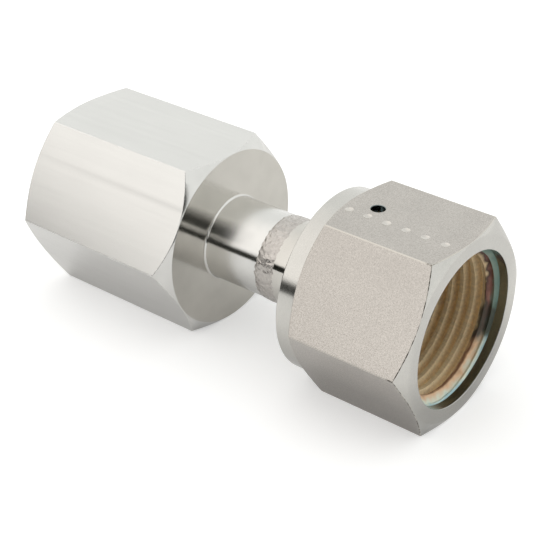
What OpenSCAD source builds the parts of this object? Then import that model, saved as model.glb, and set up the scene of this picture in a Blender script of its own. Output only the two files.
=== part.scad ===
// Female connector: a hex body with a female pipe port, its turned neck butt-welded to a
// face-seal gland, and the captive female nut that draws the gland's sealing bead on to a
// mating gland. The part lies on the flats of its two hexes. All sizes are in millimetres.
// The origin is on the axis, in the plane where the sealing bead meets its gasket. +X runs to
// the nut's mouth, -X to the pipe port, and +Z is up.

/* [Hex body] */
// Across flats of the body's hex bar
body_af = 26.99; // [25:0.01:34]
// Length of the hex block
body_len = 29; // [25:0.1:45]
// Angle of the chamfer at the port end, from the end face
body_port_chamfer = 30; // [15:1:45]
// Angle of the chamfer at the neck end, from the end face
body_neck_chamfer = 41; // [15:1:45]
// How far each turned end face stays inside the flats
body_face_inset = 0.08; // [0.02:0.01:0.4]

/* [Pipe port] */
// Drilled diameter under the pipe thread
port_drill_d = 18.26; // [14:0.01:20]
// Width of the countersink at the mouth, measured on the radius
port_sink = 1.67; // [0.5:0.01:2.2]
// Depth of the drilled hole, without its conical end
port_depth = 20; // [12:0.1:21]
// Point angle of the drill
port_point_angle = 118; // [90:1:140]

/* [Neck and bore] */
// Outside diameter of the neck, the weld's sides and the gland's tube
neck_d = 12.7; // [11.6:0.1:14]
// Wall of the neck and the gland's tube round the flow bore
tube_wall = 1.25; // [0.9:0.05:2.4]
// Length of the neck that is turned on the hex body
stub_len = 9.35; // [5:0.05:20]
// Fillet where the neck meets the hex block
stub_fillet_r = 0.35; // [0.1:0.05:1.2]

/* [Weld] */
// Width of the butt weld along the axis
weld_w = 2.9; // [1.6:0.1:5]
// Height of the weld's crown above the neck
weld_crown = 0.12; // [0.05:0.01:0.18]

/* [Gland] */
// Length of tube from the weld to the back of the head
gland_tube_len = 9.75; // [6:0.05:20]
// Radial gap between the gland's head and the crests of the nut's thread
head_clearance = 0.55; // [0.1:0.05:0.9]
// Length of the gland's head
head_len = 4; // [3:0.1:5]
// Bevel on the edges of the head
head_bevel = 0.5; // [0.2:0.05:0.9]
// Fillet between the tube and the back of the head
head_fillet_r = 0.4; // [0.1:0.05:0.5]
// Distance from the flow bore's wall to the middle of the sealing bead
bead_from_bore = 1.85; // [1.6:0.05:2.4]
// Radius of the sealing bead's section
bead_r = 0.8; // [0.5:0.05:1]
// Height of the bead above the head's face
bead_rise = 0.4; // [0.2:0.05:0.5]
// Bevel at the outlet of the flow bore
outlet_bevel = 0.3; // [0.1:0.05:0.4]

/* [Nut outside] */
// Wall between the thread's outside diameter and the flats
flat_wall = 2.38; // [1.6:0.01:6]
// Length of the nut
nut_len = 21.4; // [19:0.1:30]
// Width of the turned collar at the back of the nut
collar_w = 2.6; // [1:0.1:4]
// How far the collar stays inside the flats
collar_inset = 0.05; // [0.02:0.01:0.4]
// Angle of the chamfer behind the hex, from the back face
nut_back_chamfer = 30; // [15:1:45]
// Angle of the chamfer at the mouth, from the end face
nut_face_chamfer = 26; // [15:1:45]
// How far the mouth's end face stays inside the flats
nut_face_inset = 0.14; // [0.02:0.01:0.4]
// Bevel on the back edge of the collar
collar_bevel = 0.2; // [0.05:0.05:0.6]

/* [Nut inside] */
// Thickness of the nut's back wall
nut_wall = 3.4; // [2.5:0.1:5]
// Radial clearance between the nut's hole and the neck
hole_clearance = 0.2; // [0.19:0.01:0.4]
// Gap between the nut's inner shoulder and the back of the gland's head
seat_gap = 0.1; // [0.02:0.01:0.3]
// Bevel on the edges of the nut's hole
hole_bevel = 0.5; // [0.2:0.05:0.9]
// Outside diameter of the nut's female thread
thread_d = 22.23; // [21:0.01:32]
// Height of the thread, from its outside diameter in to its crests
thread_height = 0.915; // [0.5:0.005:1.1]
// Depth of the relief behind the thread, below the thread's outside diameter
relief_depth = 0.185; // [0.05:0.005:0.6]
// How far the relief behind the thread runs past the gland's face
relief_past_face = 1.1; // [0.6:0.1:3]
// Radial clearance of the counterbore at the mouth round the thread
mouth_clearance = 0.165; // [0.05:0.005:0.6]
// Depth of the counterbore at the mouth
mouth_depth = 1.4; // [0.5:0.1:2.5]
// Diameter of the leak-test holes
leak_d = 2; // [1:0.1:2.2]
// How far the leak-test holes lie behind the gland's face
leak_behind_face = 0.6; // [0:0.1:1.6]
// Number of leak-test holes round the nut
leak_count = 2; // [1:1:6]

/* [Hidden] */
$fn = 96;
// How far a cutting shape runs past the face that it cuts
over = 1;
// Places along the axis, from the sealing plane back to the pipe port
head_face = -bead_rise;
head_back = head_face - head_len;
weld_end = head_back - gland_tube_len;
stub_end = weld_end - weld_w;
port_mouth = stub_end - stub_len - body_len;
nut_back = head_back - seat_gap - nut_wall;
// Radii
drill_r = port_drill_d / 2;
neck_r = neck_d / 2;
flow_r = neck_r - tube_wall;
bead_ring_r = flow_r + bead_from_bore;
hole_r = neck_r + hole_clearance;
thread_r = thread_d / 2 - thread_height;
head_r = thread_r - head_clearance;
relief_r = thread_d / 2 + relief_depth;
mouth_r = thread_d / 2 + mouth_clearance;
nut_af = thread_d + 2 * flat_wall;
// The circle that makes the weld's crown passes over both of its ends
crown_r = (weld_w * weld_w / 4 + weld_crown * weld_crown) / (2 * weld_crown);
// Distances along the nut from its back face
face_in_nut = nut_wall + seat_gap + head_len;
relief_end = face_in_nut + relief_past_face;
leak_at = face_in_nut - leak_behind_face;
mouth_start = nut_len - mouth_depth;
// Each tapered step is at 45 degrees, so its length is the difference of its radii
relief_step = relief_r - thread_r;
mouth_step = mouth_r - thread_r;

// Turns the Z axis of its children on to +X and starts them at x
module along_axis(x) {
  translate([x, 0, 0]) rotate([0, 90, 0]) children();
}

// Revolves a profile whose points are [radius, distance along the axis]
module turned(points) {
  rotate_extrude() polygon(points);
}

function corner_r(af) = af / sqrt(3);

// A hex bar with flats above and below, turned down at each end by a cone. Each cone starts
// at a circle just inside the flats and ends past the corners.
module hex_block(af, len, low_inset, low_angle, low_plain, high_inset, high_angle) {
  low_r = af / 2 - low_inset;
  high_r = af / 2 - high_inset;
  far_r = corner_r(af) + over;
  intersection() {
    rotate([0, 0, 30]) cylinder(r = corner_r(af), h = len, $fn = 6);
    turned([
      [0, 0],
      [low_r, 0],
      [low_r, low_plain],
      [far_r, low_plain + (far_r - low_r) * tan(low_angle)],
      [far_r, len - (far_r - high_r) * tan(high_angle)],
      [high_r, len],
      [0, len]
    ]);
  }
}

// The drilled pipe port: a countersunk mouth, a plain drilled wall and the drill's point
module pipe_port() {
  point_len = (drill_r - flow_r) / tan(port_point_angle / 2);
  turned([
    [0, -over],
    [drill_r + port_sink + over, -over],
    [drill_r, port_sink],
    [drill_r, port_depth],
    [flow_r, port_depth + point_len],
    [0, port_depth + point_len]
  ]);
}

// The fillet ring at the foot of a round neck of radius r that stands on a face at zero
module foot_fillet(r, fillet) {
  rotate_extrude() difference() {
    translate([r - over / 2, -over / 2]) square([fillet + over / 2, fillet + over / 2]);
    translate([r + fillet, fillet]) circle(r = fillet);
  }
}

module hex_body() {
  color("gainsboro") along_axis(port_mouth) difference() {
    union() {
      hex_block(body_af, body_len, body_face_inset, body_port_chamfer, 0,
        body_face_inset, body_neck_chamfer);
      translate([0, 0, body_len - over]) cylinder(r = neck_r, h = stub_len + over);
      translate([0, 0, body_len]) foot_fillet(neck_r, stub_fillet_r);
    }
    pipe_port();
    cylinder(r = flow_r, h = body_len + stub_len + over);
  }
}

// The weld metal: a ring as thick as the tube wall, with a low crown
module weld_seam() {
  color("darkgray") along_axis(stub_end) difference() {
    rotate_extrude() intersection() {
      square([neck_r + weld_crown + over, weld_w]);
      translate([neck_r + weld_crown - crown_r, weld_w / 2]) circle(r = crown_r);
    }
    translate([0, 0, -over]) cylinder(r = flow_r, h = weld_w + 2 * over);
  }
}

module face_seal_gland() {
  face = gland_tube_len + head_len;
  color("silver") along_axis(weld_end) difference() {
    union() {
      cylinder(r = neck_r, h = gland_tube_len + over);
      turned([
        [0, gland_tube_len],
        [head_r - head_bevel, gland_tube_len],
        [head_r, gland_tube_len + head_bevel],
        [head_r, face - head_bevel],
        [head_r - head_bevel, face],
        [0, face]
      ]);
      translate([0, 0, gland_tube_len]) mirror([0, 0, 1]) foot_fillet(neck_r, head_fillet_r);
      // The sealing bead, a torus let into the face
      translate([0, 0, face + bead_rise - bead_r]) rotate_extrude()
        translate([bead_ring_r, 0]) circle(r = bead_r);
    }
    translate([0, 0, -over]) cylinder(r = flow_r, h = face + 2 * over);
    translate([0, 0, face - outlet_bevel]) turned([
      [0, 0],
      [flow_r, 0],
      [flow_r + outlet_bevel + over, outlet_bevel + over],
      [0, outlet_bevel + over]
    ]);
  }
}

// Everything that is bored out of the nut, from its back face to its mouth
module nut_cavity() {
  turned([
    [0, -over],
    [hole_r + hole_bevel + over, -over],
    [hole_r, hole_bevel],
    [hole_r, nut_wall - hole_bevel],
    [hole_r + hole_bevel, nut_wall],
    [relief_r, nut_wall],
    [relief_r, relief_end],
    [thread_r, relief_end + relief_step],
    [thread_r, mouth_start - mouth_step],
    [mouth_r, mouth_start],
    [mouth_r, nut_len + over],
    [0, nut_len + over]
  ]);
}

module leak_holes() {
  for (i = [0 : leak_count - 1])
    translate([0, 0, leak_at]) rotate([0, 0, i * 360 / leak_count])
      rotate([0, -90, 0]) cylinder(d = leak_d, h = nut_af);
}

module female_nut() {
  color("lightgray") along_axis(nut_back) difference() {
    hex_block(nut_af, nut_len, collar_inset, nut_back_chamfer, collar_w,
      nut_face_inset, nut_face_chamfer);
    nut_cavity();
    leak_holes();
    // Bevel on the collar's back edge
    difference() {
      translate([0, 0, -over]) cylinder(r = corner_r(nut_af), h = over + collar_bevel);
      translate([0, 0, -over]) cylinder(
        r1 = nut_af / 2 - collar_inset - collar_bevel - over,
        r2 = nut_af / 2 - collar_inset,
        h = over + collar_bevel);
    }
  }
}

hex_body();
weld_seam();
face_seal_gland();
female_nut();
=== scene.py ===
"""The looks of a female connector fitting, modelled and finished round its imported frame."""

import math

import bmesh
import bpy
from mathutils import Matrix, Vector, noise


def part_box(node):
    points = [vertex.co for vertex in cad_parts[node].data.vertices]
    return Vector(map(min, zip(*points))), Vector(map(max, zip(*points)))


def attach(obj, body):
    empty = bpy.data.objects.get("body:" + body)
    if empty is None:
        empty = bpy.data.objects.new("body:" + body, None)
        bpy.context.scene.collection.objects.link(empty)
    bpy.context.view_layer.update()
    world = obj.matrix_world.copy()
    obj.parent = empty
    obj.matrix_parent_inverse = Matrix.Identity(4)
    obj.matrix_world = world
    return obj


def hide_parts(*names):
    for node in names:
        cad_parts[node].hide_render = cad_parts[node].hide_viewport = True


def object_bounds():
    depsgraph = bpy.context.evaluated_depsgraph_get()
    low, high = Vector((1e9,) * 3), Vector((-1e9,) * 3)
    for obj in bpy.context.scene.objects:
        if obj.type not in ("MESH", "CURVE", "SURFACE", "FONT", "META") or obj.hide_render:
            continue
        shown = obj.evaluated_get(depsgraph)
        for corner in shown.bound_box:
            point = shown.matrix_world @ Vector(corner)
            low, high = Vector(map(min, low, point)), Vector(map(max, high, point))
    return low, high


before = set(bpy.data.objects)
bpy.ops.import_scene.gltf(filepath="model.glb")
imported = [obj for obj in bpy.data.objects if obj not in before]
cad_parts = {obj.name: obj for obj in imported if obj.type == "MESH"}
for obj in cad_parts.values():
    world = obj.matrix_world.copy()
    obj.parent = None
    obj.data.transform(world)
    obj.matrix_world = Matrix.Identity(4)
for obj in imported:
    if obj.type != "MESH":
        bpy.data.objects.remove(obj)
frame_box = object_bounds()

bl_info = {
    "name": "Female connector fitting",
    "version": (1, 0, 0),
    "blender": (4, 5, 0),
    "location": "View3D > Sidebar > Fitting",
    "description": "Machines, welds, plates and lights a female connector fitting",
    "category": "Add Mesh",
}

MM = 0.001
ROUND_STEPS = 360
THREAD_STEPS = 120
# Material slots of a machined piece, in this order on each mesh. The body has no recess, so
# its neck takes that slot.
FLAT, TURNED, EDGE, THREAD, RECESS, PUNCH = range(6)
NECK = RECESS
# Lean of the flanks of a 60 degree thread
FLANK = math.tan(math.radians(30))
# How far a turned blank reaches past its corners before the flats are milled
STOCK = 0.4 * MM
# A face whose centre lies this far past a turned surface doesn't belong to that surface
SKIN = 0.02 * MM
FLOOR_RADIUS = 3.0
# Dark cards of the studio: name, first and last angle from -Y towards +X, and the elevations
# of its foot, of the place where it starts to thin out and of its end
CARDS = (
    ("left_card", -80, -36, -1.2, 9, 16),
    ("front_card", -36, 12, -1.2, 9, 13),
    ("camera_card", 12, 35, -1.2, 35, 55),
    ("hung_card", 35, 72, 20, 37, 57),
    ("right_card", 35, 75, -1.2, 7, 12),
)
# Direction of the large soft light, and what the walls give at the back and on its side, as
# red, green, blue and alpha
FRONT_LEFT = Vector((-0.5, -0.8, 0.33)).normalized()
BACK_LIGHT = (1.1, 1.115, 1.1, 1.0)
FRONT_LIGHT = (1.385, 1.36, 1.325, 1.0)
# Tarnish of the thread's lead-in, from the mouth inwards, above and below its black patch
UPPER_TARNISH = (
    (0.0, "#6A857C"),
    (0.2, "#8C9F92"),
    (0.34, "#9A6A5E"),
    (0.46, "#4E372C"),
    (0.56, "#D8BE96"),
    (0.66, "#8A6A46"),
)
LOWER_TARNISH = (
    (0.0, "#A9C9CE"),
    (0.14, "#DCE0CF"),
    (0.3, "#DDB893"),
    (0.46, "#8C6450"),
    (0.56, "#C9A57C"),
    (0.66, "#B08C60"),
)


def linear(hex_colour, alpha=True):
    """An sRGB hex colour as the linear values that Blender's sockets take."""
    parts = [int(hex_colour[i : i + 2], 16) / 255 for i in (1, 3, 5)]
    values = [c / 12.92 if c <= 0.04045 else ((c + 0.055) / 1.055) ** 2.4 for c in parts]
    return tuple(values + [1.0]) if alpha else tuple(values)


def length(name, description, millimetres):
    """A length property whose default is given in millimetres."""
    return bpy.props.FloatProperty(
        name=name,
        description=description,
        default=millimetres * MM,
        min=0.0,
        precision=5,
        unit="LENGTH",
        subtype="DISTANCE",
    )


def colour(name, description, hex_colour):
    """A colour property whose default is an sRGB hex value."""
    return bpy.props.FloatVectorProperty(
        name=name,
        description=description,
        default=linear(hex_colour, alpha=False),
        min=0.0,
        max=1.0,
        size=3,
        subtype="COLOR",
    )


class BodySizes(bpy.types.PropertyGroup):
    """Sizes of the hex body and its pipe port"""

    block_length: length("Block length", "Length of the hex block", 29.0)
    face_inset: length("Face inset", "How far the end faces stay inside the flats", 0.08)
    drill_radius: length("Drill radius", "Radius of the hole drilled for the pipe thread", 9.13)
    sink_width: length("Countersink", "Width of the countersink at the port", 1.67)
    port_depth: length("Port depth", "Depth of the drilled hole", 20.0)
    drill_point: length("Drill point", "Length of the cone that the drill leaves", 2.42)
    root_fillet: length("Root fillet", "Fillet at the foot of the neck", 0.35)
    pitch: length("Pipe thread pitch", "Fourteen threads to the inch", 1.814)
    thread_root: length("Pipe thread root", "Root radius of the pipe thread at the port", 10.6)
    thread_length: length("Pipe thread length", "Length of the pipe thread", 16.0)
    edge_break: length("Edge break", "Width of the broken edges between flats", 0.14)


class NeckSizes(bpy.types.PropertyGroup):
    """Sizes that the neck, the weld and the gland share"""

    radius: length("Neck radius", "Outer radius of the neck and the tube", 6.35)
    bore: length("Flow bore radius", "Radius of the flow bore", 5.1)
    weld_crown: length("Weld crown", "Height of the weld above the neck", 0.12)
    weld_ripple: length("Weld ripple", "Height of the ripples in the weld metal", 0.06)
    ripple_pitch: length("Ripple pitch", "Distance from ripple to ripple round the weld", 1.1)


class GlandSizes(bpy.types.PropertyGroup):
    """Sizes of the gland's head"""

    head_length: length("Head length", "Length of the gland's head", 4.0)
    head_bevel: length("Head bevel", "Bevel on the edges of the head", 0.5)
    bead_ring: length("Bead ring radius", "Radius of the circle that the bead follows", 6.95)
    bead_radius: length("Bead radius", "Radius of the bead's section", 0.8)
    bead_rise: length("Bead rise", "Height of the bead above the face", 0.4)
    outlet_bevel: length("Outlet bevel", "Bevel at the outlet of the flow bore", 0.3)


class NutSizes(bpy.types.PropertyGroup):
    """Sizes of the captive nut"""

    collar_inset: length("Collar inset", "How far the collar stays inside the flats", 0.05)
    collar_width: length("Collar width", "Width of the turned collar", 2.6)
    face_inset: length("Face inset", "How far the mouth's face stays inside the flats", 0.14)
    wall: length("Back wall", "Thickness of the nut's back wall", 3.4)
    hole_radius: length("Hole radius", "Radius of the hole that runs on the neck", 6.55)
    crest_radius: length("Thread crest", "Radius at the crests of the female thread", 10.2)
    root_radius: length("Thread root", "Radius at the roots of the female thread", 11.115)
    relief_radius: length("Relief radius", "Radius of the relief behind the thread", 11.3)
    relief_end: length("Relief end", "Distance from the back face to the relief's end", 8.6)
    mouth_radius: length("Mouth radius", "Radius of the counterbore at the mouth", 11.28)
    mouth_depth: length("Mouth depth", "Depth of the counterbore at the mouth", 1.4)
    pitch: length("Thread pitch", "Fourteen threads to the inch", 1.814)
    leak_radius: length("Leak hole radius", "Radius of the leak-test holes", 1.0)
    leak_place: length("Leak hole place", "Distance from the back face to the holes", 6.9)
    edge_break: length("Edge break", "Width of the worn edges between flats", 0.13)
    punch_pitch: length("Punch pitch", "Distance between the punch dots", 3.0)
    punch_radius: length("Punch radius", "Radius of the punch dots", 0.62)
    punch_depth: length("Punch depth", "Depth of the punch dots", 0.24)


class FinishColours(bpy.types.PropertyGroup):
    """Base colours of the finishes"""

    bright_steel: colour("Bright steel", "Drawn faces of the stainless body", "#D5D4D1")
    turned_steel: colour("Turned steel", "Turned faces of the stainless body", "#C8C5BE")
    weld_metal: colour("Weld metal", "Stainless weld metal, left as welded", "#BBB6B1")
    gland_steel: colour("Gland steel", "Polished face of the gland", "#C9C6C0")
    plated_steel: colour("Plated steel", "Plated flats of the nut", "#B8B3AD")
    plated_turned: colour("Plated turned", "Plated turned faces of the nut", "#C6C4BF")
    worn_edge: colour("Worn edge", "Plating rubbed bright along the nut's edges", "#C8C3BB")
    thread_gold: colour("Thread gold", "Tarnished silver plating of the thread", "#F1DBB3")
    recess_oxide: colour("Recess oxide", "Oxide film in the counterbore", "#838C8C")
    pressed_mark: colour("Pressed mark", "Plating burnished by the punch", "#CBC7C1")
    # Painted shade: a dark colour painted along the nut's front ridges at the mouth, standing in
    # for the shadow of burrs
    burr_shadow: colour("Burr shadow", "Painted shadow of the burrs at the mouth", "#3A342C")


class StageSizes(bpy.types.PropertyGroup):
    """The camera and the studio"""

    lens: bpy.props.FloatProperty(
        name="Lens",
        description="Focal length in millimetres on a 36 mm sensor",
        default=92.495,
    )
    camera_place: bpy.props.FloatVectorProperty(
        name="Camera place",
        description="Where the camera stands",
        default=(0.087727, -0.135015, 0.103802),
        size=3,
        subtype="XYZ_LENGTH",
        unit="LENGTH",
    )
    camera_turn: bpy.props.FloatVectorProperty(
        name="Camera turn",
        description="Which way the camera looks",
        default=[math.radians(a) for a in (58.1851, 0.2293, 38.2889)],
        size=3,
        subtype="EULER",
        unit="ROTATION",
    )
    flag_distance: length("Flag distance", "Distance of the dark studio cards", 600.0)


class FittingSettings(bpy.types.PropertyGroup):
    """Everything that a user would change"""

    body: bpy.props.PointerProperty(type=BodySizes)
    neck: bpy.props.PointerProperty(type=NeckSizes)
    gland: bpy.props.PointerProperty(type=GlandSizes)
    nut: bpy.props.PointerProperty(type=NutSizes)
    colours: bpy.props.PointerProperty(type=FinishColours)
    stage: bpy.props.PointerProperty(type=StageSizes)


# Shapes


def radius_of(point):
    """Distance of a point from the fitting's axis."""
    return math.hypot(point.y, point.z)


def corner_of(flat):
    """Radius of a hexagon's corners from the distance of its flats."""
    return flat / math.cos(math.radians(30))


def faces_axis(face):
    """Whether a face looks towards the fitting's axis."""
    centre = face.calc_center_median()
    return face.normal.y * centre.y + face.normal.z * centre.z < 0


def outline(bm, points, closed=True):
    """Adds a vertex at each point and joins them by edges, one after the other."""
    corners = [bm.verts.new(point) for point in points]
    following = corners[1:] + corners[:1] if closed else corners[1:]
    for first, second in zip(corners, following):
        bm.edges.new((first, second))
    return corners


def sweep(bm, angle, steps, axis=(1, 0, 0), centre=(0, 0, 0), advance=0.0):
    """Spins an outline round an axis, and each step on along X by the advance. One whole
    turn closes on itself."""
    bmesh.ops.spin(
        bm,
        geom=bm.verts[:] + bm.edges[:],
        cent=centre,
        axis=axis,
        dvec=(advance, 0, 0),
        angle=angle,
        steps=steps,
        use_merge=angle == math.tau,
    )


def lathe(profile):
    """Turns a closed profile of (x, radius, rounding) round the X axis."""
    bm = bmesh.new()
    corners = outline(bm, [(x, 0.0, radius) for x, radius, rounding in profile])
    for corner, (x, radius, rounding) in zip(corners, profile):
        if rounding:
            bmesh.ops.bevel(
                bm,
                geom=[corner],
                offset=rounding,
                offset_type="OFFSET",
                segments=4,
                profile=0.5,
                affect="VERTICES",
                material=-1,
            )
    sweep(bm, math.tau, ROUND_STEPS)
    bmesh.ops.recalc_face_normals(bm, faces=bm.faces[:])
    for face in bm.faces:
        face.material_index = TURNED
    return bm


def mill_hex(bm, flat_distance):
    """Cuts six flats on a turned shape and closes each with one face."""
    for side in range(6):
        angle = math.radians(60 * side)
        outwards = Vector((0, math.sin(angle), math.cos(angle)))
        cut = bmesh.ops.bisect_plane(
            bm,
            geom=bm.verts[:] + bm.edges[:] + bm.faces[:],
            dist=1e-7,
            plane_co=outwards * flat_distance,
            plane_no=outwards,
            clear_outer=True,
        )
        rim = [e for e in cut["geom_cut"] if isinstance(e, bmesh.types.BMEdge)]
        filled = bmesh.ops.edgeloop_fill(bm, edges=rim, mat_nr=FLAT)
        for face in filled["faces"]:
            face.normal_update()
            if face.normal.dot(outwards) < 0:
                face.normal_flip()
    bmesh.ops.recalc_face_normals(bm, faces=bm.faces[:])


def helix_cutter(section, start, pitch, turns, taper=None):
    """A right-handed helical tool whose section is a list of (x, radius)."""
    bm = bmesh.new()
    outline(bm, [(start + x, 0.0, radius) for x, radius in section])
    steps = round(THREAD_STEPS * turns)
    sweep(bm, -math.tau * turns, steps, advance=pitch * turns / steps)
    bmesh.ops.remove_doubles(bm, verts=bm.verts[:], dist=1e-7)
    bmesh.ops.holes_fill(bm, edges=bm.edges[:], sides=len(section))
    if taper:
        for vert in bm.verts:
            radius = radius_of(vert.co)
            share = taper(vert.co.x, radius) / radius
            vert.co.y *= share
            vert.co.z *= share
    bmesh.ops.recalc_face_normals(bm, faces=bm.faces[:])
    return bm


def as_object(bm, name):
    """Turns a bmesh into an object in the scene."""
    mesh = bpy.data.meshes.new(name)
    bm.to_mesh(mesh)
    bm.free()
    made = bpy.data.objects.new(name, mesh)
    bpy.context.scene.collection.objects.link(made)
    return made


def keep_modifiers(piece):
    """Makes what the modifiers show the piece's own mesh."""
    graph = bpy.context.evaluated_depsgraph_get()
    shown = bpy.data.meshes.new_from_object(piece.evaluated_get(graph), depsgraph=graph)
    old = piece.data
    piece.modifiers.clear()
    piece.data = shown
    bpy.data.meshes.remove(old)


def cut_with(bm, tools):
    """Cuts each tool out of a shape and returns the shape that is left."""
    piece = as_object(bm, "blank")
    cutters = [as_object(tool, "cutter") for tool in tools]
    for cutter in cutters:
        cut = piece.modifiers.new("Cut", "BOOLEAN")
        cut.operation = "DIFFERENCE"
        cut.solver = "EXACT"
        cut.object = cutter
    keep_modifiers(piece)
    left = bmesh.new()
    left.from_mesh(piece.data)
    for used in [piece, *cutters]:
        mesh = used.data
        bpy.data.objects.remove(used)
        bpy.data.meshes.remove(mesh)
    bmesh.ops.remove_doubles(left, verts=left.verts[:], dist=2e-7)
    bmesh.ops.dissolve_degenerate(left, edges=left.edges[:], dist=2e-7)
    return left


def break_edges(bm, corner_radius, circles):
    """Weighs the edges of the flats for the bevel. circles are (x, radius) of turned edges
    that a curved edge comes close to, where the bevel has to get narrow."""
    corner_reach, bore_reach = corner_radius - 0.05 * MM, circles[0][1] - 1.0 * MM
    full_room, widest = 0.6 * MM, 0.6
    weights = bm.edges.layers.float.new("bevel_weight_edge")
    for edge in bm.edges:
        faces = edge.link_faces
        kinds = sorted(face.material_index for face in faces)
        if kinds not in ([FLAT, FLAT], [FLAT, TURNED], [FLAT, NECK]):
            continue
        low = min(radius_of(vert.co) for vert in edge.verts)
        along = abs((edge.verts[0].co - edge.verts[1].co).normalized().x)
        if kinds == [FLAT, FLAT]:
            if low > corner_reach and along > 0.99:
                edge[weights] = 1.0
            continue
        if low < bore_reach:
            continue
        middle = (edge.verts[0].co + edge.verts[1].co) / 2
        x, radius = min(circles, key=lambda circle: abs(circle[0] - middle.x))
        room = (low - radius) / full_room
        edge[weights] = max(0.0, min(widest, room))


def finish_piece(bm, name, materials, body, node, bevel=0.0):
    """Gives a shape its broken edges, normals and materials and puts it on its body."""
    piece = as_object(bm, name)
    for material in materials:
        piece.data.materials.append(material)
    if bevel:
        broken = piece.modifiers.new("Broken edges", "BEVEL")
        broken.limit_method = "WEIGHT"
        broken.offset_type = "OFFSET"
        broken.width = bevel
        broken.segments = 3
        broken.use_clamp_overlap = False
        broken.material = EDGE
        keep_modifiers(piece)
    piece.data.shade_smooth()
    piece.data.set_sharp_from_angle(angle=math.radians(24))
    smoothed = piece.modifiers.new("Face normals", "WEIGHTED_NORMAL")
    smoothed.keep_sharp = True
    keep_modifiers(piece)
    piece.data.name = name
    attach(piece, body)
    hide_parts(node)
    return piece


# Materials


def add(tree, kind, inputs=(), **settings):
    """Adds a node. Its inputs are numbers, colours, sockets, or nodes whose first output is
    taken, in the order of the node's own sockets or by their names."""
    made = tree.nodes.new(kind)
    for name, value in settings.items():
        setattr(made, name, value)
    for key, value in inputs.items() if isinstance(inputs, dict) else enumerate(inputs):
        if isinstance(value, bpy.types.Node):
            value = value.outputs[0]
        if isinstance(value, bpy.types.NodeSocket):
            tree.links.new(value, made.inputs[key])
        else:
            made.inputs[key].default_value = value
    return made


def empty_tree(owner):
    """The node tree of a material or a world, with nothing in it."""
    owner.use_nodes = True
    owner.node_tree.nodes.clear()
    return owner.node_tree


def new_material(name):
    """A material and its empty tree."""
    material = bpy.data.materials.new(name)
    return material, empty_tree(material)


def shade_metal(tree, inputs):
    """Ends a tree with its shader, a metal unless the inputs say otherwise."""
    shader = add(tree, "ShaderNodeBsdfPrincipled", {"Metallic": 1.0, **inputs})
    add(tree, "ShaderNodeOutputMaterial", {"Surface": shader})


def object_axes(tree):
    """X, Y and Z of the point that is shaded."""
    point = add(tree, "ShaderNodeTexCoord").outputs["Object"]
    return add(tree, "ShaderNodeSeparateXYZ", (point,)).outputs


def axis_radius(tree, axes):
    """Distance of the point that is shaded from the fitting's axis."""
    squares = [add(tree, "ShaderNodeMath", (axes[k], axes[k]), operation="MULTIPLY") for k in "YZ"]
    total = add(tree, "ShaderNodeMath", squares, operation="ADD")
    return add(tree, "ShaderNodeMath", (total,), operation="SQRT")


def grain(tree, scale, detail=2.0, rough=0.5, seed=0.0):
    """Noise between 0 and 1, with its cells given in millimetres along X, Y and Z."""
    point = add(tree, "ShaderNodeTexCoord").outputs["Object"]
    cells = [1 / (size * MM) for size in scale]
    return add(
        tree,
        "ShaderNodeTexNoise",
        {
            "Vector": add(tree, "ShaderNodeMapping", {"Vector": point, "Scale": cells}),
            "W": seed,
            "Scale": 1.0,
            "Detail": detail,
            "Roughness": rough,
        },
        noise_dimensions="4D",
    )


def drawn_stainless(base):
    """Bright drawn 316 stainless bar: fine lines along the bar blur what it mirrors
    across them, and leave it nearly white with soft grey streaks."""
    material, tree = new_material("drawn_stainless")
    streaks = grain(tree, (30.0, 0.9, 0.9), detail=4.0, seed=3.0)
    clouds = grain(tree, (9.0, 4.0, 4.0), seed=8.0)
    # Draw lines 0.12 mm apart, about three times the real spacing, so that they show
    lines = grain(tree, (20.0, 0.12, 0.12), detail=3.0, rough=0.6, seed=1.0)
    both = add(tree, "ShaderNodeMath", (streaks, clouds), operation="ADD")
    both = add(tree, "ShaderNodeMath", (both, 0.5), operation="MULTIPLY")
    shade = add(tree, "ShaderNodeMapRange", (both, 0.3, 0.7, 0.965, 1.03))
    shade = add(tree, "ShaderNodeMath", (shade, draw_mark(tree)), operation="MULTIPLY")
    # Painted shade: the body is painted a little darker towards its bottom, for the shaded floor
    # that its lower flats mirror
    height = object_axes(tree)["Z"]
    painted_low_shade = add(tree, "ShaderNodeMapRange", (height, -8 * MM, -2 * MM, 0.92, 1.0))
    shade = add(tree, "ShaderNodeMath", (shade, painted_low_shade), operation="MULTIPLY")
    shade_metal(
        tree,
        {
            "Base Color": add(tree, "ShaderNodeVectorMath", (base, shade), operation="MULTIPLY"),
            "Roughness": add(tree, "ShaderNodeMapRange", (lines, 0.0, 1.0, 0.13, 0.19)),
            "Anisotropic": 0.4,
            "Anisotropic Rotation": 0.0,
            "Tangent": add(tree, "ShaderNodeTangent", direction_type="RADIAL", axis="X"),
            "Normal": add(tree, "ShaderNodeBump", {"Height": lines, "Distance": 0.0003 * MM}),
        },
    )
    return material


def draw_mark(tree):
    """The grey line that the drawing die left on one flat, fading out towards the port."""
    height, half_width, depth = 8.9 * MM, 0.6 * MM, 0.13
    axes = object_axes(tree)
    away = add(tree, "ShaderNodeMath", (axes["Z"], height), operation="SUBTRACT")
    away = add(tree, "ShaderNodeMath", (away,), operation="ABSOLUTE")
    line = add(tree, "ShaderNodeMapRange", (away, 0.0, half_width, 1.0, 0.0))
    front = add(tree, "ShaderNodeMapRange", (axes["Y"], -6 * MM, -5 * MM, 1.0, 0.0))
    fade = add(tree, "ShaderNodeMapRange", (axes["X"], -54 * MM, -34 * MM, 0.35, 1.0))
    dark = add(tree, "ShaderNodeMath", (line, front), operation="MULTIPLY")
    dark = add(tree, "ShaderNodeMath", (dark, fade), operation="MULTIPLY")
    return add(tree, "ShaderNodeMapRange", (dark, 0.0, 1.0, 1.0, 1.0 - depth))


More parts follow.
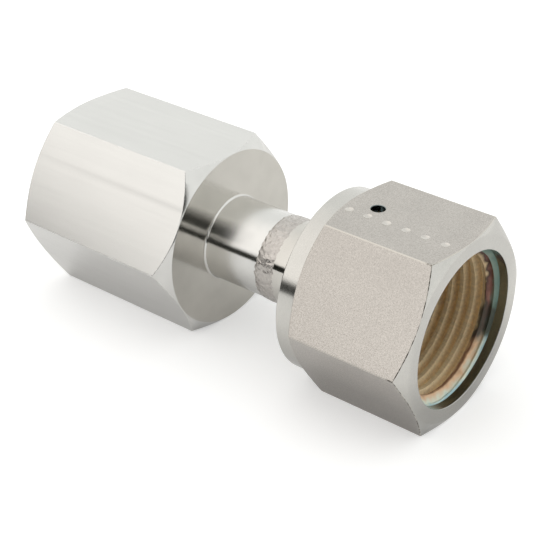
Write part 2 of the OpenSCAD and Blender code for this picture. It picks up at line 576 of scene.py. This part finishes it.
def turned_stainless(base, name="turned_stainless", rough=(0.1, 0.15), feed=0.0005):
    """Turned 316 stainless: feed marks run round the axis, and the face is nearly a mirror
    with a slight blur from the centre outwards."""
    material, tree = new_material(name)
    axes = object_axes(tree)
    along = add(tree, "ShaderNodeMath", (axis_radius(tree, axes), axes["X"]), operation="ADD")
    # Feed marks 0.15 mm apart
    spaced = add(tree, "ShaderNodeMath", (along, 1 / (0.15 * MM)), operation="MULTIPLY")
    marks = add(
        tree,
        "ShaderNodeTexNoise",
        {"W": spaced, "Scale": 1.0, "Detail": 3.0},
        noise_dimensions="1D",
    )
    clouds = grain(tree, (4.0, 4.0, 4.0), seed=5.0)
    # Handling has left soft dents about 1 mm wide
    dents = grain(tree, (1.1, 0.8, 0.8), detail=3.0, rough=0.6, seed=6.5)
    shade = add(tree, "ShaderNodeMapRange", (clouds, 0.3, 0.7, 0.94, 1.04))
    turned = add(tree, "ShaderNodeBump", {"Height": marks, "Distance": feed * MM})
    dented = {"Height": dents, "Distance": 0.005 * MM, "Normal": turned}
    shade_metal(
        tree,
        {
            "Base Color": add(tree, "ShaderNodeVectorMath", (base, shade), operation="MULTIPLY"),
            "Roughness": add(tree, "ShaderNodeMapRange", (marks, 0.0, 1.0, *rough)),
            "Anisotropic": 0.9,
            "Anisotropic Rotation": 0.25,
            "Tangent": add(tree, "ShaderNodeTangent", direction_type="RADIAL", axis="X"),
            "Normal": add(tree, "ShaderNodeBump", dented),
        },
    )
    return material


def broken_edge(base, name="broken_edge"):
    """Metal that a file or a punch has just touched: bright, with small nicks."""
    material, tree = new_material(name)
    nicks = grain(tree, (2.5, 0.5, 0.5), seed=2.0)
    shade = add(tree, "ShaderNodeMapRange", (nicks, 0.35, 0.65, 0.94, 1.06))
    shade_metal(
        tree,
        {
            "Base Color": add(tree, "ShaderNodeVectorMath", (base, shade), operation="MULTIPLY"),
            "Roughness": add(tree, "ShaderNodeMapRange", (nicks, 0.0, 1.0, 0.2, 0.34)),
            "Normal": add(tree, "ShaderNodeBump", {"Height": nicks, "Distance": 0.006 * MM}),
        },
    )
    return material


def as_welded(base):
    """Stainless weld metal: matt pinkish grey, with bright dimples where it froze."""
    material, tree = new_material("as_welded_stainless")
    dimples = grain(tree, (0.5, 0.5, 0.5), detail=4.0, rough=0.6, seed=4.0)
    clouds = grain(tree, (1.6, 2.4, 2.4), seed=6.0)
    shade = add(tree, "ShaderNodeMapRange", (dimples, 0.3, 0.7, 0.78, 1.12))
    shade_metal(
        tree,
        {
            "Base Color": add(tree, "ShaderNodeVectorMath", (base, shade), operation="MULTIPLY"),
            "Roughness": add(tree, "ShaderNodeMapRange", (clouds, 0.35, 0.65, 0.14, 0.36)),
            "Normal": add(tree, "ShaderNodeBump", {"Height": dimples, "Distance": 0.06 * MM}),
        },
    )
    return material


def plated_steel(base, name="plated_stainless", rough=(0.2, 0.27), grain_depth=0.01, sparkle=0.14):
    """Silver-plated stainless, tumbled: warm grey and silky, with a fine sparkling grain."""
    material, tree = new_material(name)
    # Tumbling grain of 0.16 mm
    pits = grain(tree, (0.16, 0.16, 0.16), rough=0.6, seed=7.0)
    clouds = grain(tree, (5.0, 5.0, 5.0), detail=3.0, seed=9.0)
    height = object_axes(tree)["Z"]
    shade = add(tree, "ShaderNodeMapRange", (pits, 0.36, 0.64, 1 - sparkle, 1 + sparkle))
    # Random tone from the clouds, then painted light and shade by height: painted lighter towards
    # mid height and darker towards the top, and painted much darker towards the bottom, for the
    # shaded floor that the lower flats mirror
    for tone_and_painted_light in (
        (clouds, 0.3, 0.7, 0.96, 1.03),
        (height, 2 * MM, 11 * MM, 1.06, 0.97),
        (height, -8 * MM, -0.5 * MM, 0.7, 1.0),
    ):
        share = add(tree, "ShaderNodeMapRange", tone_and_painted_light)
        shade = add(tree, "ShaderNodeMath", (shade, share), operation="MULTIPLY")
    shade_metal(
        tree,
        {
            "Base Color": add(tree, "ShaderNodeVectorMath", (base, shade), operation="MULTIPLY"),
            "Roughness": add(tree, "ShaderNodeMapRange", (clouds, 0.0, 1.0, *rough)),
            "Normal": add(tree, "ShaderNodeBump", {"Height": pits, "Distance": grain_depth * MM}),
        },
    )
    return material


def rubbed_edge(base, burr_shadow, mouth):
    """Plating rubbed bright on the nut's ridges, with a painted dark broken line at the mouth's
    chamfer for the shadow of burrs.
    """
    material, tree = new_material("rubbed_edge")
    nicks = grain(tree, (0.6, 0.5, 0.5), detail=4.0, rough=0.65, seed=2.5)
    axes = object_axes(tree)
    dark = add(tree, "ShaderNodeMapRange", (nicks, 0.42, 0.56, 0.0, 1.0))
    # The painted shadow line goes only on the ridges that face the front, and only on their ends
    # at the mouth
    for place in (
        (axes["X"], mouth - 2.2 * MM, mouth - 1.6 * MM, 0.0, 1.0),
        (axes["Y"], -8.5 * MM, -6.0 * MM, 1.0, 0.0),
    ):
        share = add(tree, "ShaderNodeMapRange", place)
        dark = add(tree, "ShaderNodeMath", (dark, share), operation="MULTIPLY")
    # The dark broken line mixed in here is painted shade, the shadow of burrs
    colours = {0: dark, 6: (*base, 1.0), 7: (*burr_shadow, 1.0)}
    shade_metal(
        tree,
        {
            "Base Color": add(tree, "ShaderNodeMix", colours, data_type="RGBA").outputs[2],
            "Roughness": add(tree, "ShaderNodeMapRange", (nicks, 0.0, 1.0, 0.25, 0.45)),
            "Normal": add(tree, "ShaderNodeBump", {"Height": nicks, "Distance": 0.04 * MM}),
        },
    )
    return material


def tarnished_thread(base, mouth):
    """Silver plating on a thread, tarnished to a satin gold-brown. Its lead-in is tarnished
    teal and brown above, nearly black at mid height, and cream and tan below."""
    material, tree = new_material("tarnished_silver_thread")
    axes = object_axes(tree)
    smears = grain(tree, (2.5, 0.4, 0.4), detail=3.0, seed=11.0)
    patches = grain(tree, (2.2, 2.2, 2.2), seed=12.0)
    wander = add(tree, "ShaderNodeMapRange", (patches, 0.3, 0.7, -0.3 * MM, 0.3 * MM))
    wavy_x = add(tree, "ShaderNodeMath", (axes["X"], wander), operation="ADD")
    depth = add(tree, "ShaderNodeMath", (mouth, wavy_x), operation="SUBTRACT")
    band = add(tree, "ShaderNodeMapRange", (depth, 1.4 * MM, 4.4 * MM, 0.0, 1.0))
    tints = []
    for stops in (UPPER_TARNISH, LOWER_TARNISH):
        made = add(tree, "ShaderNodeValToRGB", (band,))
        elements = made.color_ramp.elements
        while len(elements) < len(stops):
            elements.new(0.5)
        for element, (where, value) in zip(elements, stops):
            element.position = where
            element.color = linear(value)
        tints.append(made)
    swell = add(tree, "ShaderNodeMath", (wander, 3.0), operation="MULTIPLY")
    level = add(tree, "ShaderNodeMath", (axes["Z"], swell), operation="ADD")
    down = add(tree, "ShaderNodeMapRange", (level, -6.5 * MM, -5.5 * MM, 1.0, 0.0))
    tinted = add(
        tree, "ShaderNodeMix", {0: down, 6: tints[0], 7: tints[1]}, data_type="RGBA"
    ).outputs[2]
    away = add(tree, "ShaderNodeMath", (level, 4.2 * MM), operation="ADD")
    away = add(tree, "ShaderNodeMath", (away,), operation="ABSOLUTE")
    black = add(tree, "ShaderNodeMapRange", (away, 1.3 * MM, 3.0 * MM, 0.85, 0.0))
    tinted = add(
        tree, "ShaderNodeMix", {0: black, 6: tinted, 7: linear("#3F3F35")}, data_type="RGBA"
    ).outputs[2]
    radius = axis_radius(tree, axes)
    # Painted light: the crests are painted darker and the roots lighter, to cancel the shade that
    # falls into the grooves
    painted_groove_light = add(tree, "ShaderNodeMapRange", (radius, 10.2 * MM, 11.1 * MM, 0.9, 1.05))
    smeared = add(tree, "ShaderNodeMapRange", (smears, 0.3, 0.7, 0.84, 1.12))
    shade = add(tree, "ShaderNodeMath", (painted_groove_light, smeared), operation="MULTIPLY")
    plain = add(tree, "ShaderNodeVectorMath", (base, shade), operation="MULTIPLY")
    inside = add(tree, "ShaderNodeMapRange", (band, 0.56, 0.7, 0.0, 1.0))
    colours = {0: inside, 6: tinted, 7: plain}
    shade_metal(
        tree,
        {
            "Metallic": 0.35,
            "Base Color": add(tree, "ShaderNodeMix", colours, data_type="RGBA").outputs[2],
            "Roughness": add(tree, "ShaderNodeMapRange", (smears, 0.0, 1.0, 0.38, 0.55)),
            "Normal": add(tree, "ShaderNodeBump", {"Height": smears, "Distance": 0.008 * MM}),
        },
    )
    return material


def studio_floor():
    """Matt white studio board that shows white where nothing shades it."""
    material, tree = new_material("white_board")
    board = add(tree, "ShaderNodeBsdfDiffuse", {"Color": linear("#E2E2E2")})
    rays = add(tree, "ShaderNodeLightPath").outputs
    point = add(tree, "ShaderNodeTexCoord").outputs["Object"]
    away = add(tree, "ShaderNodeVectorMath", (point,), operation="LENGTH").outputs["Value"]
    to_eye = add(tree, "ShaderNodeMapRange", (away, 0.2, 0.4, 0.38, 1.0))
    to_metal = add(tree, "ShaderNodeMapRange", (away, 0.2, 0.4, 0.17, 0.3))
    mirrored = (rays["Is Glossy Ray"], rays["Is Transmission Ray"])
    mirrored = add(tree, "ShaderNodeMath", mirrored, operation="MAXIMUM")
    mirrored = add(tree, "ShaderNodeMath", (mirrored, to_metal), operation="MULTIPLY")
    seen = add(tree, "ShaderNodeMath", (rays["Is Camera Ray"], to_eye), operation="MULTIPLY")
    seen = add(tree, "ShaderNodeMath", (seen, mirrored), operation="MAXIMUM")
    lift = add(tree, "ShaderNodeEmission", {"Strength": seen})
    both = add(tree, "ShaderNodeAddShader", (board, lift))
    add(tree, "ShaderNodeOutputMaterial", {"Surface": both})
    return material


def black_card(full, top):
    """Matt black card that keeps the white walls off the metal and thins out upwards."""
    material, tree = new_material("black_card")
    thin = add(tree, "ShaderNodeMapRange", (object_axes(tree)["Z"], full, top, 0.0, 1.0))
    card = add(tree, "ShaderNodeBsdfDiffuse", {"Color": linear("#2E2F2B")})
    clear = add(tree, "ShaderNodeBsdfTransparent")
    both = add(tree, "ShaderNodeMixShader", (thin, card, clear))
    add(tree, "ShaderNodeOutputMaterial", {"Surface": both})
    return material


def studio_dome():
    """White walls all round, with the large soft light at the front left a little brighter
    and warmer than the rest."""
    world = bpy.data.worlds.new("studio_dome")
    tree = empty_tree(world)
    direction = add(tree, "ShaderNodeTexCoord").outputs["Generated"]
    facing = add(tree, "ShaderNodeVectorMath", (direction, FRONT_LEFT), operation="DOT_PRODUCT")
    share = add(tree, "ShaderNodeMapRange", (facing.outputs["Value"], 0.1, 0.75, 0.0, 1.0))
    lights = {0: share, 6: BACK_LIGHT, 7: FRONT_LIGHT}
    light = add(tree, "ShaderNodeMix", lights, data_type="RGBA").outputs[2]
    background = add(tree, "ShaderNodeBackground", {"Color": light, "Strength": 1.0})
    add(tree, "ShaderNodeOutputWorld", {"Surface": background})
    return world


# Pieces


def settings():
    """The settings of the scene."""
    return bpy.context.scene.fitting


class FITTING_OT_hex_body(bpy.types.Operator):
    """Turn, mill and thread the hex body with its neck"""

    bl_idname = "fitting.hex_body"
    bl_label = "Machine the hex body"

    def execute(self, context):
        sizes, neck, colours = settings().body, settings().neck, settings().colours
        low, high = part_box("hex_body")
        flat = high.z
        corner = corner_of(flat)
        beyond = corner + STOCK
        port, stub = low.x, high.x
        face = port + sizes.block_length
        rim = flat - sizes.face_inset
        rise = beyond - rim
        mouth = sizes.drill_radius + sizes.sink_width
        drill_end = port + sizes.port_depth
        port_cone, neck_cone = math.radians(30), math.radians(41)
        mouth_round, rim_round, drill_round = 0.06 * MM, 0.03 * MM, 0.1 * MM
        bm = lathe(
            [
                (port, mouth, mouth_round),
                (port, rim, rim_round),
                (port + rise * math.tan(port_cone), beyond, 0),
                (face - rise * math.tan(neck_cone), beyond, 0),
                (face, rim, rim_round),
                (face, neck.radius, sizes.root_fillet),
                (stub, neck.radius, 0),
                (stub, neck.bore, 0),
                (drill_end + sizes.drill_point, neck.bore, drill_round),
                (drill_end, sizes.drill_radius, drill_round),
                (port + sizes.sink_width, sizes.drill_radius, 0),
            ]
        )
        mill_hex(bm, flat)
        bm = cut_with(bm, [pipe_tap(sizes, port)])
        # The tap's own faces come out as flats, well inside the real ones
        well_inside, end_facing = flat * 0.9, 0.95
        for part in bm.faces:
            centre = part.calc_center_median()
            radius = radius_of(centre)
            if part.material_index == FLAT and radius < well_inside:
                part.material_index = TURNED
            if radius < mouth and centre.x < face and faces_axis(part):
                part.material_index = THREAD
            elif part.material_index == TURNED and abs(part.normal.x) < end_facing:
                part.material_index = NECK
        break_edges(bm, corner, [(port, rim), (face, rim)])
        finish_piece(
            bm,
            "hex_body_machined",
            [
                drawn_stainless(colours.bright_steel),
                turned_stainless(colours.turned_steel),
                broken_edge(colours.bright_steel),
                turned_stainless(colours.turned_steel, "tapped_stainless", (0.2, 0.3), 0.002),
                turned_stainless(colours.bright_steel, "turned_neck", (0.13, 0.2), 0.001),
            ],
            "connector",
            "hex_body",
            sizes.edge_break,
        )
        return {"FINISHED"}


def pipe_tap(sizes, port):
    """The tap for the pipe thread: sharp 60 degree grooves whose roots close in with depth."""
    inner = sizes.drill_radius - 0.25 * MM
    half_root, gap = 0.04 * MM, 0.01 * MM
    half_base = half_root + (sizes.thread_root - inner) * FLANK
    half_base = min(half_base, sizes.pitch / 2 - gap)
    section = [
        (-half_base, inner),
        (-half_root, sizes.thread_root),
        (half_root, sizes.thread_root),
        (half_base, inner),
    ]
    start = port - sizes.pitch
    turns = (sizes.thread_length + sizes.pitch) / sizes.pitch
    run_out = 2 * sizes.pitch
    run_out_rise = 1.3 * MM

    def taper(x, radius):
        """Lowers a root by the pipe taper of 1 in 32 a side, and more over the run-out."""
        if radius <= inner + 0.1 * MM:
            return radius
        depth = max(0.0, x - port)
        fade = max(0.0, (depth - (sizes.thread_length - run_out)) / run_out)
        return radius - (depth / 32 + fade * run_out_rise)

    return helix_cutter(section, start, sizes.pitch, turns, taper)


class FITTING_OT_weld_seam(bpy.types.Operator):
    """Lay the butt weld between the neck and the gland"""

    bl_idname = "fitting.weld_seam"
    bl_label = "Lay the weld"

    def execute(self, context):
        neck, colours = settings().neck, settings().colours
        low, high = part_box("weld_seam")
        # The metal has run over both edges of the joint by a share of its width, unevenly
        rows, overrun = 34, 0.16
        sunk, outer_skin = neck.radius - 0.12 * MM, neck.radius - 0.11 * MM
        fine, finer, coarse = 0.55 * MM, 0.25 * MM, 2.6 * MM
        lag = 0.09
        outside = [(low.x, sunk, 0)]
        for row in range(rows + 1):
            share = (1 + 2 * overrun) * row / rows - overrun
            crown = neck.weld_crown * (1 - (2 * share - 1) ** 2)
            outside.append((low.x + (high.x - low.x) * share, neck.radius + crown, 0))
        outside.append((high.x, sunk, 0))
        bm = lathe(outside + [(high.x, neck.bore, 0), (low.x, neck.bore, 0)])
        ripples = round(math.tau * neck.radius / neck.ripple_pitch)
        for vert in bm.verts:
            radius = radius_of(vert.co)
            share = (vert.co.x - low.x) / (high.x - low.x)
            if radius < outer_skin:
                continue
            angle = math.atan2(vert.co.z, vert.co.y)
            side = 2 * share - 1
            # Each puddle freezes as a crescent, so the ripples lag behind at both sides
            wave = math.sin(ripples * (angle + lag * side * side))
            rough = noise.noise(vert.co / fine) + 0.6 * noise.noise(vert.co / finer)
            swell = noise.noise(vert.co / coarse)
            lift = neck.weld_ripple * (0.3 * wave + 0.7 * rough + 0.5 * swell)
            vert.co.y *= 1 + lift / radius
            vert.co.z *= 1 + lift / radius
        finish_piece(
            bm,
            "weld_seam_rippled",
            [as_welded(colours.weld_metal)] * 2,
            "connector",
            "weld_seam",
        )
        return {"FINISHED"}


class FITTING_OT_gland(bpy.types.Operator):
    """Turn and polish the face-seal gland"""

    bl_idname = "fitting.gland"
    bl_label = "Turn the gland"

    def execute(self, context):
        sizes, neck, colours = settings().gland, settings().neck, settings().colours
        low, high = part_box("face_seal_gland")
        head = high.z
        face = high.x - sizes.bead_rise
        back = face - sizes.head_length
        centre = high.x - sizes.bead_radius
        reach = math.acos((sizes.bead_radius - sizes.bead_rise) / sizes.bead_radius)
        tube_fillet, head_round, outlet_round = 0.4 * MM, 0.08 * MM, 0.05 * MM
        half_steps = 8
        bead = []
        for step in range(2 * half_steps + 1):
            angle = reach * (1 - step / half_steps)
            x = centre + sizes.bead_radius * math.cos(angle)
            bead.append((x, sizes.bead_ring + sizes.bead_radius * math.sin(angle), 0))
        profile = [
            (low.x, neck.radius, 0),
            (back, neck.radius, tube_fillet),
            (back, head - sizes.head_bevel, head_round),
            (back + sizes.head_bevel, head, head_round),
            (face - sizes.head_bevel, head, head_round),
            (face, head - sizes.head_bevel, head_round),
            *bead,
            (face, neck.bore + sizes.outlet_bevel, outlet_round),
            (face - sizes.outlet_bevel, neck.bore, outlet_round),
            (low.x, neck.bore, 0),
        ]
        finish_piece(
            lathe(profile),
            "gland_polished",
            [turned_stainless(colours.gland_steel, "polished_gland", (0.08, 0.13), 0.0003)] * 2,
            "connector",
            "face_seal_gland",
        )
        return {"FINISHED"}


class FITTING_OT_nut(bpy.types.Operator):
    """Turn, mill, thread and mark the captive nut"""

    bl_idname = "fitting.nut"
    bl_label = "Machine the nut"

    def execute(self, context):
        sizes, colours = settings().nut, settings().colours
        low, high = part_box("female_nut")
        flat = high.z
        corner = corner_of(flat)
        beyond = corner + STOCK
        back, mouth = low.x, high.x
        collar = flat - sizes.collar_inset
        rim = flat - sizes.face_inset
        back_cone = (beyond - collar) * math.tan(math.radians(30))
        mouth_cone = (beyond - rim) * math.tan(math.radians(26))
        collar_end = back + sizes.collar_width
        hole_bevel, hole_round = 0.5 * MM, 0.05 * MM
        collar_round, rim_round, mouth_round = 0.2 * MM, 0.06 * MM, 0.12 * MM
        floor_round, relief_round = 0.05 * MM, 0.1 * MM
        shoulder = back + sizes.wall
        relief = back + sizes.relief_end
        step = sizes.relief_radius - sizes.crest_radius
        cone = sizes.mouth_radius - sizes.crest_radius
        floor = mouth - sizes.mouth_depth
        bm = lathe(
            [
                (back, collar, collar_round),
                (collar_end, collar, 0),
                (collar_end + back_cone, beyond, 0),
                (mouth - mouth_cone, beyond, 0),
                (mouth, rim, rim_round),
                (mouth, sizes.mouth_radius, mouth_round),
                (floor, sizes.mouth_radius, floor_round),
                (floor - cone, sizes.crest_radius, 0),
                (relief + step, sizes.crest_radius, 0),
                (relief, sizes.relief_radius, relief_round),
                (shoulder, sizes.relief_radius, relief_round),
                (shoulder, sizes.hole_radius + hole_bevel, hole_round),
                (shoulder - hole_bevel, sizes.hole_radius, hole_round),
                (back + hole_bevel, sizes.hole_radius, hole_round),
                (back, sizes.hole_radius + hole_bevel, hole_round),
            ]
        )
        mill_hex(bm, flat)
        tools = [nut_tap(sizes, relief, floor)]
        tools += [leak_drill(sizes, back, flat, side) for side in (1, -1)]
        tools += dot_punches(sizes, back, flat)
        bm = cut_with(bm, tools)
        for part in bm.faces:
            centre = part.calc_center_median()
            if not faces_axis(part) or radius_of(centre) > sizes.mouth_radius + SKIN:
                continue
            if centre.x > floor + SKIN:
                part.material_index = RECESS
            elif centre.x > relief:
                part.material_index = THREAD
        break_edges(bm, corner, [(collar_end, collar), (mouth, rim)])
        # The leak-test holes turn dull only now, so that their rims got no broken edge
        for part in bm.faces:
            radius = radius_of(part.calc_center_median())
            if part.material_index == THREAD and radius > sizes.relief_radius + SKIN:
                part.material_index = RECESS
        finish_piece(
            bm,
            "nut_plated",
            [
                plated_steel(colours.plated_steel),
                plated_steel(colours.plated_turned, "plated_turned", (0.13, 0.19), 0.002, 0.04),
                rubbed_edge(colours.worn_edge, colours.burr_shadow, mouth),
                tarnished_thread(colours.thread_gold, mouth),
                plated_steel(colours.recess_oxide, "oxide_recess", (0.14, 0.2), 0.001, 0.1),
                broken_edge(colours.pressed_mark, "pressed_mark"),
            ],
            "nut",
            "female_nut",
            sizes.edge_break,
        )
        return {"FINISHED"}


def nut_tap(sizes, relief, floor):
    """The tap for the nut's thread: 60 degree grooves with narrow flat roots."""
    half_root = sizes.pitch / 16
    crest_break = 0.08 * MM
    half_crest = half_root + (sizes.root_radius - sizes.crest_radius - crest_break) * FLANK
    half_mouth = half_crest + 0.5 * crest_break
    clear = sizes.crest_radius - 0.3 * MM
    section = [
        (-half_mouth, clear),
        (-half_mouth, sizes.crest_radius),
        (-half_crest, sizes.crest_radius + crest_break),
        (-half_root, sizes.root_radius),
        (half_root, sizes.root_radius),
        (half_crest, sizes.crest_radius + crest_break),
        (half_mouth, sizes.crest_radius),
        (half_mouth, clear),
    ]
    lead_in, lead_out = 0.4 * sizes.pitch, 0.9 * sizes.pitch
    start = relief - lead_in
    turns = (floor + lead_out - start) / sizes.pitch
    return helix_cutter(section, start, sizes.pitch, turns)


def leak_drill(sizes, back, flat, side):
    """A drill along Z for one leak-test hole, with a small break at the flat."""
    bm = bmesh.new()
    inner, top = sizes.crest_radius - 0.5 * MM, flat + 0.2 * MM
    break_start, break_width = flat - 0.07 * MM, 0.27 * MM
    profile = [
        (0.0, inner),
        (sizes.leak_radius, inner),
        (sizes.leak_radius, break_start),
        (sizes.leak_radius + break_width, top),
        (0.0, top),
    ]
    place_x = back + sizes.leak_place
    outline(bm, [(place_x + radius, 0.0, side * z) for radius, z in profile], closed=False)
    sweep(bm, math.tau, 48, axis=(0, 0, 1), centre=(place_x, 0, 0))
    bmesh.ops.remove_doubles(bm, verts=bm.verts[:], dist=1e-6)
    bmesh.ops.recalc_face_normals(bm, faces=bm.faces[:])
    for face in bm.faces:
        face.material_index = THREAD
    return bm


def dot_punches(sizes, back, flat):
    """A row of plain round punch dots beside the leak-test hole."""
    dots, first_x, row_y = 6, back + 4.0 * MM, -2.55 * MM
    ball = (sizes.punch_radius**2 + sizes.punch_depth**2) / (2 * sizes.punch_depth)
    punches = []
    for count in range(dots):
        bm = bmesh.new()
        bmesh.ops.create_uvsphere(bm, u_segments=32, v_segments=48, radius=ball)
        place_x = first_x + sizes.punch_pitch * count
        centre = Vector((place_x, row_y, flat + ball - sizes.punch_depth))
        bmesh.ops.translate(bm, verts=bm.verts[:], vec=centre)
        for face in bm.faces:
            face.material_index = PUNCH
        punches.append(bm)
    return punches


class FITTING_OT_stage(bpy.types.Operator):
    """Set the floor, the studio light, the dark cards and the camera"""

    bl_idname = "fitting.stage"
    bl_label = "Set the stage"

    def execute(self, context):
        scene, sizes = context.scene, settings().stage
        scene.view_settings.view_transform = "Standard"
        low, high = frame_box
        bm = bmesh.new()
        bmesh.ops.create_circle(bm, cap_ends=True, segments=64, radius=FLOOR_RADIUS)
        bmesh.ops.translate(bm, verts=bm.verts[:], vec=(0, 0, low.z))
        floor = as_object(bm, "studio_floor")
        floor.data.materials.append(studio_floor())
        for name, start, end, *elevations in CARDS:
            heights = [sizes.flag_distance * math.tan(math.radians(a)) for a in elevations]
            foot, full, top = heights
            made = curved_card(name, sizes.flag_distance, start, end, foot, top)
            made.data.materials.append(black_card(full, top))
            made.visible_camera = False
        scene.world = studio_dome()
        camera = bpy.data.objects.new("camera", bpy.data.cameras.new("camera"))
        camera.data.lens = sizes.lens
        camera.data.sensor_width = 36.0
        camera.data.clip_start = 0.01
        camera.location = sizes.camera_place
        camera.rotation_euler = sizes.camera_turn
        scene.collection.objects.link(camera)
        scene.camera = camera
        return {"FINISHED"}


def curved_card(name, distance, start, end, foot_z, top_z):
    """A card bent round the fitting, from one angle to another and between two heights."""
    bm = bmesh.new()
    first = math.radians(start)
    x, y = distance * math.sin(first), -distance * math.cos(first)
    outline(bm, [(x, y, foot_z), (x, y, top_z)], closed=False)
    sweep(bm, math.radians(end - start), 24, axis=(0, 0, 1))
    return as_object(bm, name)


class FITTING_PT_pieces(bpy.types.Panel):
    """Lists the operators that make the fitting"""

    bl_label = "Fitting"
    bl_idname = "FITTING_PT_pieces"
    bl_space_type = "VIEW_3D"
    bl_region_type = "UI"
    bl_category = "Fitting"

    def draw(self, context):
        for made in OPERATORS:
            self.layout.operator(made.bl_idname)


OPERATORS = (
    FITTING_OT_stage,
    FITTING_OT_hex_body,
    FITTING_OT_weld_seam,
    FITTING_OT_gland,
    FITTING_OT_nut,
)
GROUPS = (
    BodySizes,
    NeckSizes,
    GlandSizes,
    NutSizes,
    FinishColours,
    StageSizes,
    FittingSettings,
)
CLASSES = (*GROUPS, *OPERATORS, FITTING_PT_pieces)


def register():
    """Registers the classes and the settings."""
    for made in CLASSES:
        bpy.utils.register_class(made)
    bpy.types.Scene.fitting = bpy.props.PointerProperty(type=FittingSettings)


def unregister():
    """Takes the settings and the classes out again."""
    del bpy.types.Scene.fitting
    for made in reversed(CLASSES):
        bpy.utils.unregister_class(made)


def main():
    """Makes the stage and every piece."""
    register()
    bpy.ops.fitting.stage()
    bpy.ops.fitting.hex_body()
    bpy.ops.fitting.weld_seam()
    bpy.ops.fitting.gland()
    bpy.ops.fitting.nut()


if __name__ == "__main__":
    main()
